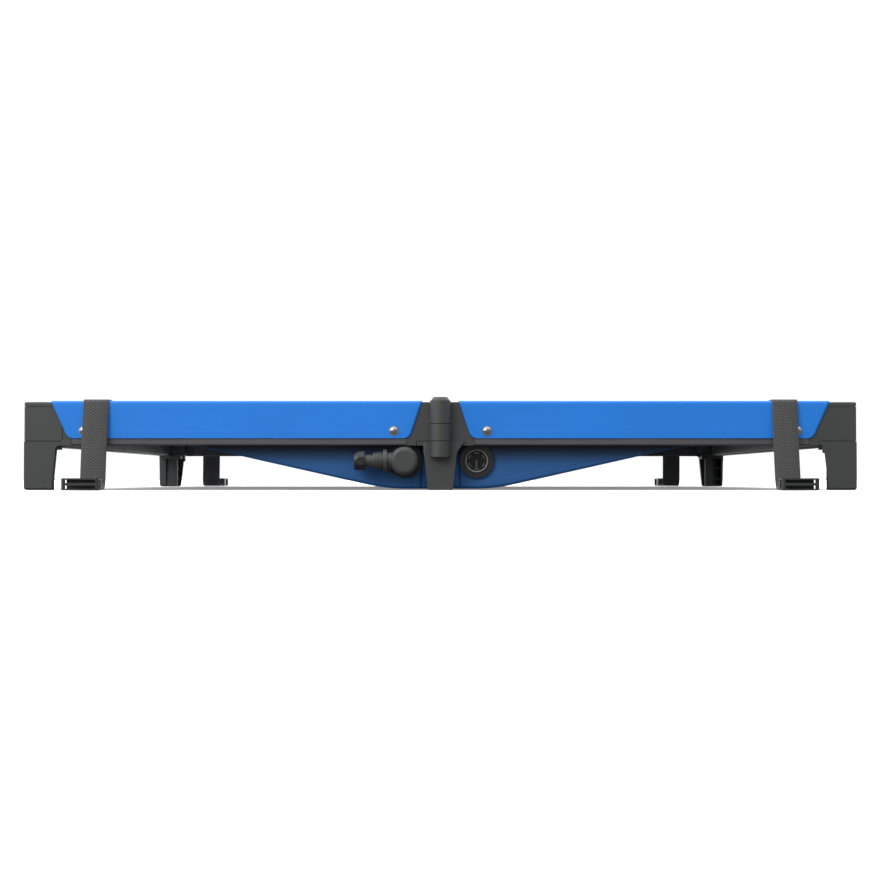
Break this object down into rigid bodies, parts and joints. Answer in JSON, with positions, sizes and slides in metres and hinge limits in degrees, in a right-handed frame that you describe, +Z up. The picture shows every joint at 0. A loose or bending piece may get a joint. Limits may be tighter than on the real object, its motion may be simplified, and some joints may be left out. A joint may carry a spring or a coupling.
{
  "type": "folding solar blanket",
  "caption": "Folding rail frame on legs with a sagging blue fabric basin that carries solar cells, tie straps with buckles, and a power socket.",
  "frame": {"origin": "on the floor under the middle of the frame", "axes": "+Z up, +X to the right seen from the side with the power ports, +Y from that side to the back"},
  "size_m": [1.2618, 1.51, 0.139],
  "materials": {
    "moulding": "fine grain moulded",
    "rail": "satin grey powder coat",
    "blue_cover": "coated woven polyester",
    "blue_belly": "coated woven polyester",
    "cell": "laminated dark cell",
    "stud": "polished",
    "pin": "turned",
    "hinge_cap": "black coated",
    "webbing": "ribbed polyester webbing",
    "buckle": "moulded acetal",
    "port": "moulded nylon"
  },
  "bodies": {
    "side_left": {"rail_side_left": "rail", "rail_cover_side_left": "blue_cover", "snap_studs_side_left": "stud", "basin_side_left": "blue_belly", "solar_cells_left": "cell", "corner_block_front_left": "moulding", "corner_leg_back_left": "moulding", "corner_pin_back_left": "pin"},
    "front_left": {"rail_front_left": "rail", "rail_cover_front_left": "blue_cover", "snap_studs_front_left": "stud", "strap_front_left": "webbing", "buckle_front_left": "buckle", "hinge_bracket_front": "moulding", "corner_leg_front_left": "moulding", "corner_pin_front_left": "pin", "basin_front_left": "blue_belly", "solar_cells_front_left": "cell", "socket_left": "port"},
    "front_right": {"rail_front_right": "rail", "rail_cover_front_right": "blue_cover", "snap_studs_front_right": "stud", "strap_front_right": "webbing", "buckle_front_right": "buckle", "centre_leg_front": "moulding", "hinge_pin_front": "hinge_cap", "corner_block_front_right": "moulding", "basin_front_right": "blue_belly", "solar_cells_front_right": "cell", "socket_right": "port"},
    "side_right": {"rail_side_right": "rail", "rail_cover_side_right": "blue_cover", "snap_studs_side_right": "stud", "basin_side_right": "blue_belly", "solar_cells_right": "cell", "corner_block_back_right": "moulding", "corner_leg_front_right": "moulding", "corner_pin_front_right": "pin"},
    "back_left": {"rail_back_left": "rail", "rail_cover_back_left": "blue_cover", "snap_studs_back_left": "stud", "strap_back_left": "webbing", "buckle_back_left": "buckle", "centre_leg_back": "moulding", "hinge_pin_back": "hinge_cap", "corner_block_back_left": "moulding", "basin_back_left": "blue_belly", "solar_cells_back_left": "cell"},
    "back_right": {"rail_back_right": "rail", "rail_cover_back_right": "blue_cover", "snap_studs_back_right": "stud", "strap_back_right": "webbing", "buckle_back_right": "buckle", "hinge_bracket_back": "moulding", "corner_leg_back_right": "moulding", "corner_pin_back_right": "pin", "basin_back_right": "blue_belly", "solar_cells_back_right": "cell"},
    "plug": {"plug_elbow": "port"},
    "cable_nut": {"gland_nut": "port"}
  },
  "joints": [
    {"name": "fold", "type": "hinge", "parent": "side_left", "child": "front_left", "pos_m": [-0.596, -0.616, 0.1], "axis": [0, 0, 1], "range_deg": [0, 78], "deforming": ["basin_side_left", "solar_cells_left", "basin_front_left", "solar_cells_front_left", "basin_front_right", "solar_cells_front_right", "basin_side_right", "solar_cells_right", "basin_back_left", "solar_cells_back_left", "basin_back_right", "solar_cells_back_right", "rail_cover_front_left", "rail_cover_back_right", "rail_cover_side_left", "rail_cover_side_right"]},
    {"name": "front_hinge", "type": "hinge", "parent": "front_left", "child": "front_right", "pos_m": [0, -0.653, 0.1], "axis": [0, 0, 1], "range_deg": [-156, 0]},
    {"name": "front_right_corner", "type": "hinge", "parent": "front_right", "child": "side_right", "pos_m": [0.596, -0.616, 0.1], "axis": [0, 0, 1], "range_deg": [0, 78]},
    {"name": "back_left_corner", "type": "hinge", "parent": "side_left", "child": "back_left", "pos_m": [-0.596, 0.616, 0.1], "axis": [0, 0, 1], "range_deg": [-78, 0]},
    {"name": "back_hinge", "type": "hinge", "parent": "back_left", "child": "back_right", "pos_m": [0, 0.653, 0.1], "axis": [0, 0, 1], "range_deg": [0, 156]},
    {"name": "plug_swivel", "type": "hinge", "parent": "front_left", "child": "plug", "pos_m": [-0.054, -0.645, 0.0438], "axis": [0, 1, 0], "range_deg": [-20, 5]},
    {"name": "gland_nut_turn", "type": "hinge", "parent": "plug", "child": "cable_nut", "pos_m": [-0.121, -0.643, 0.0438], "axis": [1, 0, 0], "continuous": true}
  ],
  "couplings": [
    {"joint": "front_hinge", "follows": "fold", "ratio": -2},
    {"joint": "front_right_corner", "follows": "fold", "ratio": 1},
    {"joint": "back_left_corner", "follows": "fold", "ratio": -1},
    {"joint": "back_hinge", "follows": "fold", "ratio": 2}
  ]
}
